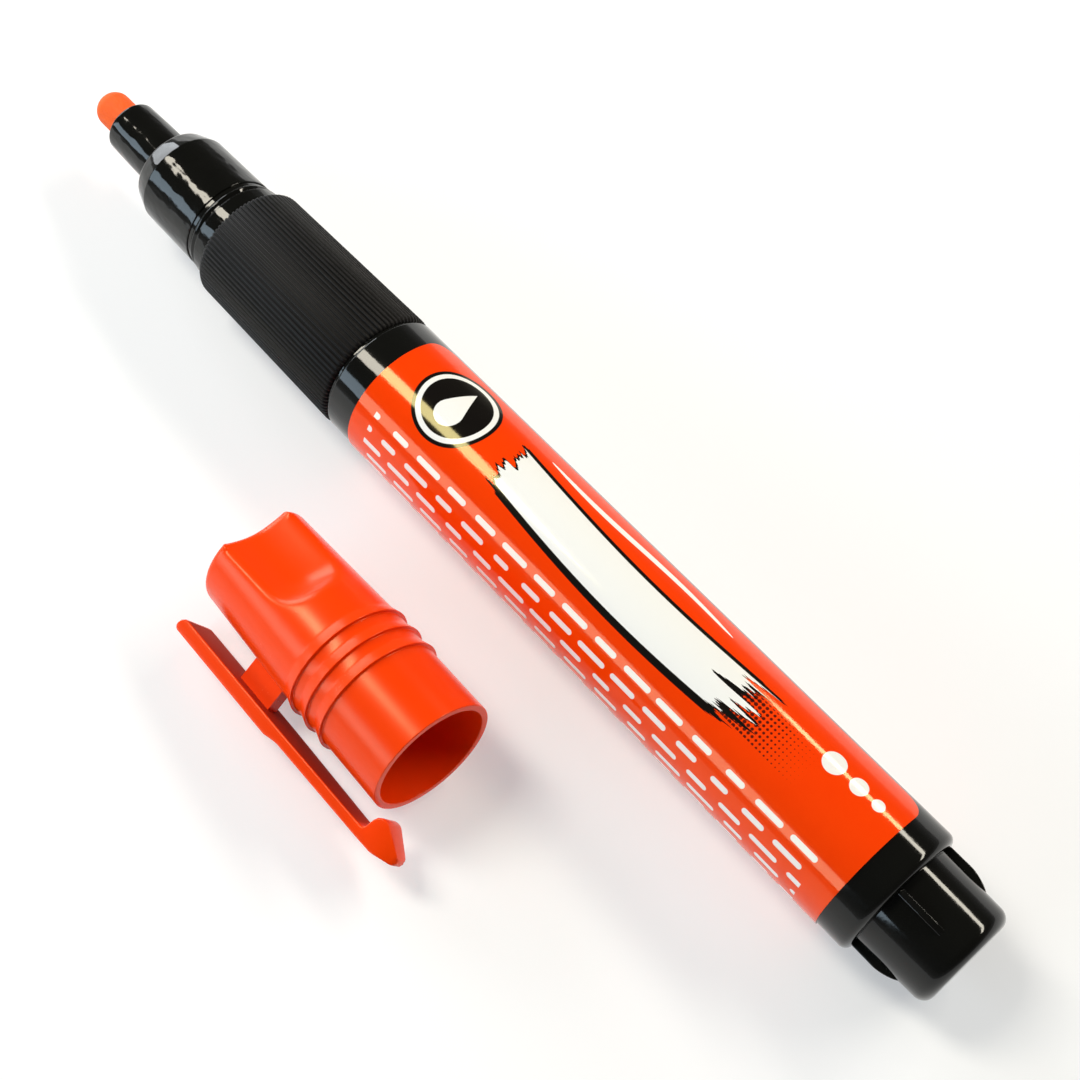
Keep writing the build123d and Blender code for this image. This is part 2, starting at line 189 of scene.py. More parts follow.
SCOOP_BLEND = 0.0019
SCOOP_REACH_ANGLE = math.radians(60)
SCOOP_RUNOUT = 0.002
SCOOP_RUNOUT_SLOPE = 4
SCOOP_ROWS = 72
SCOOP_SMOOTHING = 30
CLIP_INNER_RADIUS = 0.00945
CLIP_WIDTH = 0.005
CLIP_BLADE = 0.0012
CLIP_THUMB = 0.0016
CLIP_TAIL_START = 0.00035
CLIP_TAIL_ROUNDING = 0.00095
CLIP_TAIL_OUTER_ROUNDING = 0.0006
CLIP_THUMB_LENGTH = 0.0164
CLIP_THUMB_BLEND = 0.0017
CLIP_THUMB_ROUNDING = 0.002
CLIP_HOOK_START = 0.0006
CLIP_HOOK_RISE = 0.0003
CLIP_HOOK_HEIGHT = 0.0022
CLIP_HOOK_CREST = 0.0013
CLIP_HOOK_ROUNDING = 0.001
CLIP_HOOK_WIDTH = 0.0036
CLIP_HOOK_OVERHANG = 0.0054
CLIP_TIP_LENGTH = 0.0026
CLIP_TIP_DROP = 0.00075
CLIP_TIP_THICKNESS = 0.0008
CLIP_TIP_WIDTH = 0.0024
CLIP_TIP_ROUNDING = 0.0005
CLIP_CORNER = 0.00045
CLIP_EDGE = 0.00034
CLIP_SNAP = 0.00015
CLIP_RIM_ANGLE = math.radians(50)
BRIDGE_START = 0.0096
BRIDGE_LENGTH = 0.0049
BRIDGE_LEAN = 0.0003
BRIDGE_THICKNESS = 0.0018
BRIDGE_FOOT = 0.0066
BRIDGE_ROWS = 12

# The photograph's camera, from the middle of the label's front edge
CAMERA_OFFSET = Vector((0.08635, -0.05604, 0.16103))
CAMERA_BACK = Vector((0.34583, -0.30636, 0.88687))
CAMERA_LENS = 56.74
CAMERA_SENSOR = 36.0
CAMERA_NEAR = 0.001

# The white floor, and the room's light by height above the horizon
FLOOR_SIZE = 3.0
FLOOR_GLOW = 0.4
SKY_STOPS = ((0.0, 0.40), (0.10, 0.22), (0.30, 0.08), (0.7, 0.05))

# Each lamp's place, size, radiance and colour, and its yaw where it looks straight down
WARM_LIGHT = (1.0, 0.94, 0.8)
BLUE_LIGHT = (0.68, 0.86, 1.0)
COOL_LIGHT = (0.92, 0.96, 1.0)
LAMPS = {
    "front_panel": ((-0.485, -0.148, 0.77), (0.46, 0.2), 20.0, WARM_LIGHT, 26.3),
    "rear_strip": ((0.19, 0.70, 0.60), (0.7, 0.11), 21.2, WARM_LIGHT, None),
    "side_softbox": ((-0.35, -0.68, 0.3), (0.9, 0.24), 5.4, BLUE_LIGHT, None),
    "nose_panel": ((-0.75, 0.04, 0.28), (0.45, 0.42), 6.0, COOL_LIGHT, None),
}


def cap_frame():
    """Matrix of the cap's own frame, with x to the mouth, z to the clip and its origin in the closed end.

    The end and the radius of the cap's bore come with it.
    """
    bore = named(frame["record"]["mounts"], "cap_bore")
    rock = named(frame["record"]["behaviour"]["joints"], "clip_rock")
    to_mouth = Vector(bore["axis"]).normalized()
    sideways = -Vector(rock["axis"]).normalized()
    to_clip = to_mouth.cross(sideways)
    bore_middle = CAP_LENGTH - bore["dims"]["length_mm"] / 2000
    origin = Vector(bore["pos_m"]) - to_mouth * bore_middle
    matrix = Matrix((to_mouth, sideways, to_clip)).transposed().to_4x4()
    matrix.translation = origin
    return matrix, CAP_LENGTH - bore["dims"]["length_mm"] / 1000, bore["dims"]["r_mm"] / 1000


pen_matrix = Matrix.Translation(pen_axis)
cap_matrix, cap_bore_end, cap_bore_radius = cap_frame()


# Mesh tools
def finish_piece(bm, name, body, node, slot, matrix, finish=None, sharp=40):
    """Put a bmesh in its place as a shaded object that stands for a CAD node.

    It rides on a body, if one is named, and its finish has the slot's name unless another is given.
    """
    bmesh.ops.transform(bm, matrix=matrix, verts=bm.verts)
    mesh = bpy.data.meshes.new(name)
    bm.to_mesh(mesh)
    bm.free()
    for face in mesh.polygons:
        face.use_smooth = True
    mesh.set_sharp_from_angle(angle=math.radians(sharp))
    piece = bpy.data.objects.new(name, mesh)
    bpy.context.scene.collection.objects.link(piece)
    piece.data.materials.append(finishes[finish or slot])
    if body:
        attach(piece, body)
    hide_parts(node)
    return piece


def everything(bm):
    """All of a bmesh's vertices, edges and faces."""
    return bm.verts[:] + bm.edges[:] + bm.faces[:]


def rounded(bm, geom, size, affect, segments, clamp=False):
    """Bevel vertices or edges with a round profile."""
    bmesh.ops.bevel(
        bm, geom=geom, offset=size, offset_type="OFFSET", affect=affect,
        segments=segments, profile=0.5, material=-1, clamp_overlap=clamp,
    )


def cut_across(bm, place, way, snap=MERGE):
    """Split the faces along a plane."""
    bmesh.ops.bisect_plane(bm, geom=everything(bm), dist=snap, plane_co=place, plane_no=way)


def drawn_across(bm, width):
    """Draw the flat faces out along y."""
    made = bmesh.ops.extrude_face_region(bm, geom=bm.faces[:])["geom"]
    moved = [item for item in made if isinstance(item, bmesh.types.BMVert)]
    bmesh.ops.translate(bm, verts=moved, vec=(0, width, 0))


def outline(bm, corners, segments=6):
    """A wire through (x, radius, rounding) corners, with the corners rounded."""
    verts = [bm.verts.new((x, 0, radius)) for x, radius, rounding in corners]
    for first, second in zip(verts, verts[1:]):
        bm.edges.new((first, second))
    for vert, (x, radius, rounding) in zip(verts, corners):
        if rounding:
            rounded(bm, [vert], rounding, "VERTICES", segments)


def closed_up(bm):
    """Merge what touches and turn the faces outwards."""
    bmesh.ops.remove_doubles(bm, verts=bm.verts, dist=MERGE)
    bmesh.ops.dissolve_degenerate(bm, edges=bm.edges, dist=MERGE)
    bmesh.ops.recalc_face_normals(bm, faces=bm.faces)


def turned(corners, steps=SPIN_STEPS, segments=6):
    """A bmesh turned about the x axis from a rounded outline."""
    bm = bmesh.new()
    outline(bm, corners, segments)
    bmesh.ops.spin(
        bm, geom=bm.verts[:] + bm.edges[:], cent=(0, 0, 0), axis=(1, 0, 0), dvec=(0, 0, 0),
        angle=2 * math.pi, steps=steps, use_merge=True, use_normal_flip=False, use_duplicate=False,
    )
    closed_up(bm)
    return bm


# Shader maths
class Value:
    """A node socket that can be used in sums."""

    def __init__(self, tree, socket):
        self.tree = tree
        self.socket = socket

    def math(self, operation, *others):
        """A Math node on this value and others."""
        return self.tree.node("ShaderNodeMath", {"operation": operation}, [self, *others])

    def __add__(self, other):
        return self.math("ADD", other)

    def __sub__(self, other):
        return self.math("SUBTRACT", other)

    def __mul__(self, other):
        return self.math("MULTIPLY", other)

    def __truediv__(self, other):
        return self.math("DIVIDE", other)

    def __rsub__(self, other):
        return self.tree.node("ShaderNodeMath", {"operation": "SUBTRACT"}, [other, self])

    def __abs__(self):
        return self.math("ABSOLUTE")

    __radd__ = __add__
    __rmul__ = __mul__

    def clamped(self):
        """This value held between 0 and 1."""
        return self.tree.node("ShaderNodeClamp", {}, [self])

    def least(self, other):
        """The lower of two values."""
        return self.math("MINIMUM", other)

    def most(self, other):
        """The higher of two values."""
        return self.math("MAXIMUM", other)

    def mixed(self, low, high):
        """Colour between low and high as this value goes from 0 to 1."""
        # The Mix node's colours are its inputs 6 and 7 and its output 2
        inputs = {"Factor": self, 6: low, 7: high}
        return self.tree.node("ShaderNodeMix", {"data_type": "RGBA"}, inputs, output=2)

    def levels(self, *stops):
        """This value read through a ramp of (place, level) stops."""
        return self.tree.node("ShaderNodeValToRGB", {"stops": stops}, {"Fac": self})


class NodeTree:
    """Adds nodes to a material or a world."""

    def __init__(self, owner):
        owner.use_nodes = True
        self.nodes = owner.node_tree.nodes
        self.links = owner.node_tree.links

    def node(self, kind, settings, inputs, output=0):
        """Add a node: its settings first, then the values or links of its sockets."""
        made = self.nodes.new(kind)
        for key, value in settings.items():
            if key == "stops":
                self.set_stops(made.color_ramp, value)
            else:
                setattr(made, key, value)
        items = inputs.items() if isinstance(inputs, dict) else enumerate(inputs)
        for key, value in items:
            if isinstance(value, Value):
                self.links.new(value.socket, made.inputs[key])
            else:
                made.inputs[key].default_value = value
        return Value(self, made.outputs[output])

    def set_stops(self, ramp, stops):
        """Give a ramp its (place, level) stops."""
        while len(ramp.elements) < len(stops):
            ramp.elements.new(1)
        for element, (place, level) in zip(ramp.elements, stops):
            element.position = place
            element.color = (level, level, level, 1)

    def light_path(self, kind):
        """1 for one kind of ray."""
        return self.node("ShaderNodeLightPath", {}, [], output=kind)

    def place(self):
        """The Object coordinates as a vector."""
        return self.node("ShaderNodeTexCoord", {}, [], output="Object")

    def xyz(self):
        """The three Object coordinates in millimetres."""
        split = self.node("ShaderNodeSeparateXYZ", {}, [self.place()]).socket.node
        return [Value(self, socket) * 1000 for socket in split.outputs]

    def noise(self, scale, detail=2.0, roughness=0.5, stretch=None):
        """Noise from 0 to 1 with so many cells in a metre, longer along x where stretched."""
        vector = self.place()
        if stretch:
            vector = self.node("ShaderNodeMapping", {}, {"Vector": vector, "Scale": stretch})
        inputs = {"Vector": vector, "Scale": scale, "Detail": detail, "Roughness": roughness}
        return self.node("ShaderNodeTexNoise", {}, inputs)


class Finish(NodeTree):
    """A procedural material on Object coordinates, with its Principled shader."""

    def __init__(self, name, **constants):
        self.material = bpy.data.materials.new(name)
        super().__init__(self.material)
        self.shader = self.nodes["Principled BSDF"]
        for socket, value in constants.items():
            self.shader.inputs[socket.replace("_", " ")].default_value = value

    def put(self, socket, value):
        """Feed a socket of the shader."""
        self.links.new(value.socket, self.shader.inputs[socket])

    def bump(self, height, distance, strength):
        """Raise the surface by a height from 0 to 1, times a distance in metres."""
        inputs = {"Strength": strength, "Distance": distance, "Height": height}
        self.put("Normal", self.node("ShaderNodeBump", {}, inputs))


def rgb(red, green, blue):
    """An opaque colour."""
    return (red, green, blue, 1.0)


# Finishes
def black_gloss(name, ripple):
    """Polished black moulding with a fine grain, drawn marks, a flow ripple and handling haze."""
    finish = Finish(name, IOR=1.4)
    haze = finish.noise(160, detail=5)
    grain = finish.noise(2600, detail=3)
    drawn = finish.noise(2200, detail=3, stretch=(0.1, 1, 1))
    flow = finish.noise(420, detail=2, stretch=(0.55, 1, 1))
    finish.put("Base Color", haze.mixed(rgb(0.003, 0.003, 0.0025), rgb(0.006, 0.006, 0.005)))
    finish.put("Roughness", haze * 0.05 + grain * 0.04 + 0.03)
    finish.bump(flow * ripple + grain * 0.055 + drawn * 0.08, distance=0.0001, strength=0.5)
    return finish.material


def grip_black():
    """Matte black soft plastic with a fine grain and paler rubbed ribs."""
    finish = Finish("grip_black", IOR=1.46, Specular_IOR_Level=0.18)
    grain = finish.noise(7000, detail=4)
    wear = finish.noise(220, detail=4)
    finish.put("Base Color", wear.mixed(rgb(0.005, 0.0045, 0.0045), rgb(0.010, 0.009, 0.009)))
    finish.put("Roughness", grain * 0.14 + wear * 0.10 + 0.38)
    finish.bump(grain, distance=0.00003, strength=0.5)
    return finish.material


ORANGE = rgb(0.92, 0.052, 0.0012)
ORANGE_DEEP = rgb(0.89, 0.044, 0.001)
# A darker orange of painted shade for the clip's inner face
ORANGE_PAINTED_SHADE = rgb(0.4, 0.02, 0.002)

# The clip's inner face, rougher and darkened with painted shade, in millimetres: its reach above and below
# that face, and its soft edge
SHADE_DULL_ABOVE = 0.06
SHADE_DULL_BELOW = 0.12
SHADE_DULL_EDGE = 0.05


def distance_along(finish, way):
    """Millimetres from the middle of the cap's closed end, along one of the cap's own axes."""
    x, y, z = finish.xyz()
    return x * way.x + y * way.y + z * way.z - cap_matrix.translation.dot(way) * 1000


def cap_orange(name, shaded_dull_face=False):
    """Satin orange-red moulding with a slight flow and grain; on the clip, an inner face that is rougher
    and darkened with painted shade.
    """
    finish = Finish(name, IOR=1.45, Specular_IOR_Level=0.4, Specular_Tint=rgb(1.0, 0.82, 0.5))
    flow = finish.noise(140, detail=4)
    grain = finish.noise(3000, detail=3)
    colour = flow.mixed(ORANGE_DEEP, ORANGE)
    roughness = flow * 0.06 + grain * 0.05 + 0.2
    if shaded_dull_face:
        along, height = (distance_along(finish, cap_matrix.col[i].xyz) for i in (0, 2))
        height = height - CLIP_INNER_RADIUS * 1000
        shade_and_dull = ((SHADE_DULL_ABOVE - height) / SHADE_DULL_EDGE).clamped()
        shade_and_dull = shade_and_dull * ((height + SHADE_DULL_BELOW) / SHADE_DULL_EDGE).clamped()
        shade_and_dull = shade_and_dull * ((CAP_LENGTH + CLIP_HOOK_START) * 1000 - along).clamped()
        # Painted shade: the inner face's colour is darkened to a deeper orange, while its added roughness
        # is real
        colour = shade_and_dull.mixed(colour, ORANGE_PAINTED_SHADE)
        roughness = roughness + shade_and_dull * 0.55
    finish.put("Base Color", colour)
    finish.put("Roughness", roughness)
    finish.bump(flow + grain * 0.02, distance=0.00003, strength=0.5)
    return finish.material


def nib_felt():
    """Pressed felt soaked with paint: fibres along the nib and small pits."""
    finish = Finish("nib_felt", IOR=1.4, Specular_IOR_Level=0.3, Sheen_Weight=0.03, Sheen_Roughness=0.6)
    fibres = finish.noise(5200, detail=6, stretch=(0.25, 1, 1))
    soak = finish.noise(700, detail=3)
    paint = fibres * 0.6 + soak * 0.4
    finish.put("Base Color", paint.mixed(rgb(0.82, 0.08, 0.004), rgb(0.94, 0.14, 0.012)))
    finish.put("Roughness", fibres * 0.2 + 0.55)
    finish.bump(fibres, distance=0.00014, strength=0.8)
    return finish.material


def inner_white():
    """Natural white moulding of the hidden pieces."""
    finish = Finish("inner_white", IOR=1.48)
    cloud = finish.noise(300, detail=4)
    finish.put("Base Color", cloud.mixed(rgb(0.72, 0.72, 0.69), rgb(0.82, 0.82, 0.8)))
    finish.put("Roughness", cloud * 0.15 + 0.35)
    finish.bump(finish.noise(4000, detail=3), distance=0.00001, strength=0.4)
    return finish.material


def seal_rubber():
    """Dull black seal rubber."""
    finish = Finish("seal_rubber")
    dust = finish.noise(1500, detail=5)
    finish.put("Base Color", dust.mixed(rgb(0.02, 0.02, 0.02), rgb(0.045, 0.045, 0.045)))
    finish.put("Roughness", dust * 0.2 + 0.6)
    return finish.material


def steel():
    """Bright spring wire and ball, with fine drawing marks."""
    finish = Finish("steel", Metallic=1.0)
    marks = finish.noise(3500, detail=4)
    finish.put("Base Color", marks.mixed(rgb(0.52, 0.52, 0.54), rgb(0.66, 0.66, 0.68)))
    finish.put("Roughness", marks * 0.16 + 0.16)
    return finish.material


# The label's printed design, in millimetres along the pen and round the barrel
PRINT_EDGE = 0.06
FAR_AWAY = 20.0

# Brush strokes: first and last place, half width, middle and wave
WHITE_STROKE = (17.0, 58.0, 2.6, 6.6, 1.2)
ACCENT_STROKE = (20.0, 47.0, 0.4, 2.4, 0.3)
STROKE_SHADOW = 0.75
STROKE_OUTLINE = 0.45
BRISTLES_PER_MM = 1.3
BRISTLE_START = 4.0
BRISTLE_START_REACH = 6.0
BRISTLE_END = 17.0
BRISTLE_END_REACH = 22.0

# Three discs in a row, each with its place and radius
DISC_LINE = 5.0
DISCS = ((63.0, 1.3), (66.2, 1.0), (68.7, 0.7))

# The roundel and the drop in it
ROUNDEL_PLACE = (8.8, 6.2)
ROUNDEL_RADIUS = 5.0
ROUNDEL_RING_OUTSIDE = 4.55
ROUNDEL_RING_INSIDE = 3.95
DROP_PLACE = (8.8, 7.4)
DROP_RADIUS = 1.65
DROP_HEIGHT = 4.1

# The dot screen at the white stroke's rear end
SCREEN_GRID = 0.52
SCREEN_START = 46.0
SCREEN_END = 62.0
SCREEN_FADE = 14.0
SCREEN_DOT = 0.36
SCREEN_LINE = 7.6
SCREEN_HALF_WIDTH = 2.1
SCREEN_INK = 0.9

# Rows of dashes, and the numbers that scatter their places and lengths
DASH_PITCH = 1.85
DASH_CELL = 4.6
DASH_START = 12.3
DASH_ROWS = 17
DASH_HALF_WIDTH = 0.34
DASH_HALF_LENGTH = 0.75
DASH_EXTRA_LENGTH = 0.9
DASH_SHIFT = 2.0
DASH_FIRST = 2.6
DASH_LAST = 68.6
DASH_INK = 0.92
ROW_SCATTER = 2.7
LENGTH_SCATTER_ROW = 12.99
LENGTH_SCATTER_CELL = 78.23
LENGTH_SCATTER = 4375.85


def inside(distance):
    """1 where a distance is negative, with a soft printed edge."""
    return (0.5 - distance / PRINT_EDGE).clamped()


class LabelPlace:
    """Distances on the label: along the pen from its front edge, round the barrel from its upper edge."""

    def __init__(self, finish):
        self.finish = finish
        x, y, z = finish.xyz()
        turn = (y - pen_axis.y * 1000).math("ARCTAN2", z - pen_axis.z * 1000)
        from_edge = (LABEL_TOP_EDGE_ANGLE - turn).math("WRAP", 2 * math.pi, 0.0)
        self.along = x - label_front * 1000
        self.around = from_edge * (LABEL_RADIUS * 1000)

    def disc(self, along, around, radius):
        """Distance outside a disc."""
        aside = self.along - along
        down = self.around - around
        return (aside * aside + down * down).math("SQRT") - radius

    def swoosh(self, first, last, half_width, middle, wave):
        """Distance outside a wavy brush stroke that swells between its two pointed ends."""
        share = (self.along - first) / (last - first)
        belly = share * (1 - share) * 4
        swell = belly.most(0.0).math("SQRT") * half_width
        swell = swell - belly.math("LESS_THAN", 0.0) * FAR_AWAY
        line = (share * (2 * math.pi)).math("SINE") * wave + middle
        return abs(self.around - line) - swell

    def drop(self, along, around, radius, height):
        """Distance outside a paint drop with its point towards the upper edge."""
        up = around - self.around
        lean = radius / math.sqrt(height**2 - radius**2)
        flank = abs(self.along - along) - (height - up) * lean
        point = flank.most(radius**2 / height - up).most(up - height)
        return self.disc(along, around, radius).least(point)

    def brush(self, first, last, half_width, middle, wave, shift=0.0):
        """Distance outside a brush stroke with ragged ends, where its bristles leave the film."""
        here = self.along - shift
        line = ((here - first) * (math.pi / (last - first))).math("SINE") * wave + middle + shift
        off = self.around - line
        inputs = {"W": off * BRISTLES_PER_MM, "Scale": 1.0, "Detail": 4.0}
        bristles = self.finish.node("ShaderNodeTexNoise", {"noise_dimensions": "1D"}, inputs)
        begin = first + BRISTLE_START - bristles * BRISTLE_START_REACH
        stop = bristles * BRISTLE_END_REACH + last - BRISTLE_END
        return (abs(off) - half_width).most(begin - here).most(here - stop)

    def dashes(self):
        """1 on rows of short rounded dashes of uneven length below the main design."""
        rows = (self.around - DASH_START) / DASH_PITCH
        row = rows.math("FLOOR")
        off_row = rows.math("FRACT") * DASH_PITCH - DASH_PITCH / 2
        here = (self.along + (row * ROW_SCATTER).math("SINE") * DASH_SHIFT) / DASH_CELL
        cell = here.math("FLOOR")
        scatter = (row * LENGTH_SCATTER_ROW + cell * LENGTH_SCATTER_CELL).math("SINE")
        chance = (scatter * LENGTH_SCATTER).math("FRACT")
        half = chance * DASH_EXTRA_LENGTH + DASH_HALF_LENGTH
        aside = (abs(here.math("FRACT") * DASH_CELL - DASH_CELL / 2) - half).most(0.0)
        mark = inside((aside * aside + off_row * off_row).math("SQRT") - DASH_HALF_WIDTH)
        mark = mark * inside(DASH_FIRST - self.along) * inside(self.along - DASH_LAST)
        mark = mark * (row + 0.5).math("GREATER_THAN", 0.0)
        return mark * row.math("LESS_THAN", DASH_ROWS)

    def screen(self):
        """1 on the dots of a screen that fades out along the pen."""
        fade = (SCREEN_END - self.along) / SCREEN_FADE
        off_along = abs((self.along / SCREEN_GRID).math("FRACT") - 0.5) * SCREEN_GRID
        off_around = abs((self.around / SCREEN_GRID).math("FRACT") - 0.5) * SCREEN_GRID
        from_dot = (off_along * off_along + off_around * off_around).math("SQRT")
        dot = inside(from_dot - fade * SCREEN_DOT)
        dot = dot * inside(abs(self.around - SCREEN_LINE) - SCREEN_HALF_WIDTH)
        return dot * inside(SCREEN_START - self.along)


def label_print():
    """Glossy orange-red film with a white brush stroke, discs, a drop roundel, a dot screen and dashes."""
    finish = Finish("label_print", IOR=1.47, Specular_Tint=rgb(1.0, 0.9, 0.45))
    at = LabelPlace(finish)
    stroke = at.brush(*WHITE_STROKE)
    shadow = at.brush(*WHITE_STROKE, shift=STROKE_SHADOW)
    accent = at.swoosh(*ACCENT_STROKE)
    white = inside(stroke).most(inside(accent))
    black = inside(shadow).most(inside(stroke - STROKE_OUTLINE))
    for place, radius in DISCS:
        white = white.most(inside(at.disc(place, DISC_LINE, radius)))
    roundel = at.disc(*ROUNDEL_PLACE, 0.0)
    black = black.most(inside(roundel - ROUNDEL_RADIUS))
    white = white.most(inside(roundel - ROUNDEL_RING_OUTSIDE) - inside(roundel - ROUNDEL_RING_INSIDE))
    white = white.most(inside(at.drop(*DROP_PLACE, DROP_RADIUS, DROP_HEIGHT)))
    white = white.most(at.dashes() * DASH_INK)
    black = black.most(at.screen() * SCREEN_INK)
    ink = finish.noise(420, detail=4)
    ground = ink.mixed(ORANGE_DEEP, ORANGE)
    inked = black.mixed(ground, rgb(0.006, 0.005, 0.005))
    finish.put("Base Color", white.mixed(inked, rgb(0.88, 0.88, 0.87)))
    grain = finish.noise(2400, detail=3)
    finish.put("Roughness", grain * 0.05 + ink * 0.04 + 0.05)
    flow = finish.noise(330, detail=2, stretch=(0.6, 1, 1))
    finish.bump(flow * 0.12 + grain * 0.035, distance=0.0001, strength=0.5)
    return finish.material


finishes = {
    "black_gloss": black_gloss("black_gloss", ripple=0.18),
    "nose_gloss": black_gloss("nose_gloss", ripple=3.2),
    "grip_black": grip_black(),
    "cap_orange": cap_orange("cap_orange"),
    "clip_orange": cap_orange("clip_orange", shaded_dull_face=True),
    "nib_felt": nib_felt(),
    "inner_white": inner_white(),
    "seal_rubber": seal_rubber(),
    "steel": steel(),
    "label_orange": label_print(),
}


# The pen
def make_nib():
    """A round bullet of felt."""
    corners = [
        (nib_rear, 0, 0),
        (nib_rear, NIB_RADIUS, 0),
        (nib_tip + 2 * NIB_EDGE, NIB_RADIUS, 0),
        (nib_tip, NIB_RADIUS, NIB_EDGE),
        (nib_tip, 0, 0),
    ]
    bm = turned(corners, steps=NIB_SPIN_STEPS, segments=20)
    finish_piece(bm, "nib_bullet", "nib_unit", "nib", "nib_felt", pen_matrix)


def make_nose():
    """The nib tube, shoulder, nose and rings, with the sleeve's seat, the spigot and the bore."""
    shoulder_front = tube_tip + TUBE_LENGTH
    nose_front = shoulder_front + SHOULDER_LENGTH
    ring_front = grip_front - RING_LENGTH
    rim_rear = ring_front - RING_LINE_WIDTH
    rim_front = rim_rear - RIM_RING_LENGTH
    groove_front = rim_front - GROOVE_WIDTH
    slope = (NOSE_FRONT_RADIUS - SHOULDER_RADIUS) / SHOULDER_LENGTH
    fine = NOSE_EDGE
    corners = [
        (shoulder_front, GUIDE_RADIUS, 0),
        (tube_tip, GUIDE_RADIUS, fine),
        (tube_tip, TUBE_TIP_RADIUS, TUBE_EDGE),
        (tube_tip + 3 * TUBE_EDGE, TUBE_TIP_RADIUS + TUBE_TIP_FLARE, 0),
        (shoulder_front - 3 * fine, TUBE_BASE_RADIUS - TUBE_BASE_FLARE, 0),
        (shoulder_front, TUBE_BASE_RADIUS, fine),
        (shoulder_front, SHOULDER_RADIUS, SHOULDER_EDGE),
        (nose_front - 3 * fine, NOSE_FRONT_RADIUS - 3 * fine * slope, 0),
        (nose_front, NOSE_FRONT_RADIUS, fine),
        (nose_front + 3 * fine, NOSE_FRONT_RADIUS, 0),
        (groove_front - 3 * fine, NOSE_REAR_RADIUS, 0),
        (groove_front, NOSE_REAR_RADIUS, fine),
        (groove_front, GROOVE_RADIUS, 0),
        (rim_front, GROOVE_RADIUS, 0),
        ((rim_front + rim_rear) / 2, RIM_RING_RADIUS, 2 * fine),
        (rim_rear, RING_LINE_RADIUS, 0),
        (ring_front, RING_LINE_RADIUS, 0),
        (ring_front, RING_RADIUS, fine),
        (ring_front + 3 * fine, RING_RADIUS, 0),
        (grip_front, RING_RADIUS, 0),
        (grip_front, SLEEVE_SEAT_RADIUS, 0),
        (grip_rear, SLEEVE_SEAT_RADIUS, 0),
        (grip_rear, FLANGE_RADIUS, fine),
        (barrel_front, FLANGE_RADIUS, fine),
        (barrel_front, SPIGOT_RADIUS, 0),
        (spigot_rear, SPIGOT_RADIUS, 0),
        (spigot_rear, SPIGOT_BORE, 0),
        (grip_front, SPIGOT_BORE, 0),
        (grip_front, FUNNEL_REAR_RADIUS, 0),
        (shoulder_front, FUNNEL_FRONT_RADIUS, 0),
        (shoulder_front, GUIDE_RADIUS, 0),
    ]
    bm = turned(corners)
    finish_piece(
        bm, "nose_moulding", "pen", "nose_cone", "black_gloss", pen_matrix, finish="nose_gloss", sharp=30
    )


def make_grip():
    """One rib carried along the sleeve, then repeated round it."""
    bm = bmesh.new()
    half_turn = math.pi / GRIP_RIB_COUNT
    other_half = [(-share, depth) for share, depth in reversed(GRIP_RIB_SHARES[1:])]
    step_length = GRIP_BEVEL_LENGTH * GRIP_BEVEL_LENGTH_SHARE
    step_depth = GRIP_BEVEL_DEPTH * GRIP_BEVEL_DEPTH_SHARE
    bore = SLEEVE_SEAT_RADIUS
    stations = [
        (grip_rear, bore),
        (grip_front, bore),
        (grip_front, GRIP_FRONT_RADIUS - GRIP_BEVEL_DEPTH),
        (grip_front + step_length, GRIP_FRONT_RADIUS - step_depth),
        (grip_front + GRIP_BEVEL_LENGTH, GRIP_FRONT_RADIUS),
        (grip_rear - GRIP_BEVEL_LENGTH, GRIP_REAR_RADIUS),
        (grip_rear - step_length, GRIP_REAR_RADIUS - step_depth),
        (grip_rear, GRIP_REAR_RADIUS - GRIP_BEVEL_DEPTH),
        (grip_rear, bore),
    ]
    at_x, at_radius = stations[0]
    verts = []
    for share, depth in other_half + GRIP_RIB_SHARES:
        radius = at_radius - GRIP_RIB_DEPTH * depth
        turn = share * half_turn
        verts.append(bm.verts.new((at_x, radius * math.sin(turn), radius * math.cos(turn))))
    edges = [bm.edges.new(pair) for pair in zip(verts, verts[1:])]
    for x, radius in stations[1:]:
        made = bmesh.ops.extrude_edge_only(bm, edges=edges)["geom"]
        moved = [item for item in made if isinstance(item, bmesh.types.BMVert)]
        edges = [item for item in made if isinstance(item, bmesh.types.BMEdge)]
        share = radius / at_radius
        bmesh.ops.scale(bm, verts=moved, vec=(1, share, share))
        bmesh.ops.translate(bm, verts=moved, vec=(x - at_x, 0, 0))
        at_x, at_radius = x, radius
    bmesh.ops.spin(
        bm, geom=everything(bm), cent=(0, 0, 0), axis=(1, 0, 0), dvec=(0, 0, 0),
        angle=2 * math.pi, steps=GRIP_RIB_COUNT, use_merge=False, use_normal_flip=False, use_duplicate=True,
    )
    bmesh.ops.remove_doubles(bm, verts=bm.verts, dist=GRIP_RIB_MERGE)
    bmesh.ops.recalc_face_normals(bm, faces=bm.faces)
    finish_piece(bm, "grip_ribs", "pen", "grip_sleeve", "grip_black", pen_matrix, sharp=60)


def make_barrel():
    """The tube that holds the paint."""
    corners = [
        (barrel_front, BARREL_BORE, 0),
        (barrel_front, BARREL_RADIUS, BARREL_FRONT_EDGE),
        (barrel_rear, BARREL_RADIUS, BARREL_REAR_EDGE),
        (barrel_rear, BARREL_BORE, 0),
        (barrel_front, BARREL_BORE, 0),
    ]
    bm = turned(corners)
    finish_piece(bm, "barrel_tube", "pen", "barrel", "black_gloss", pen_matrix)


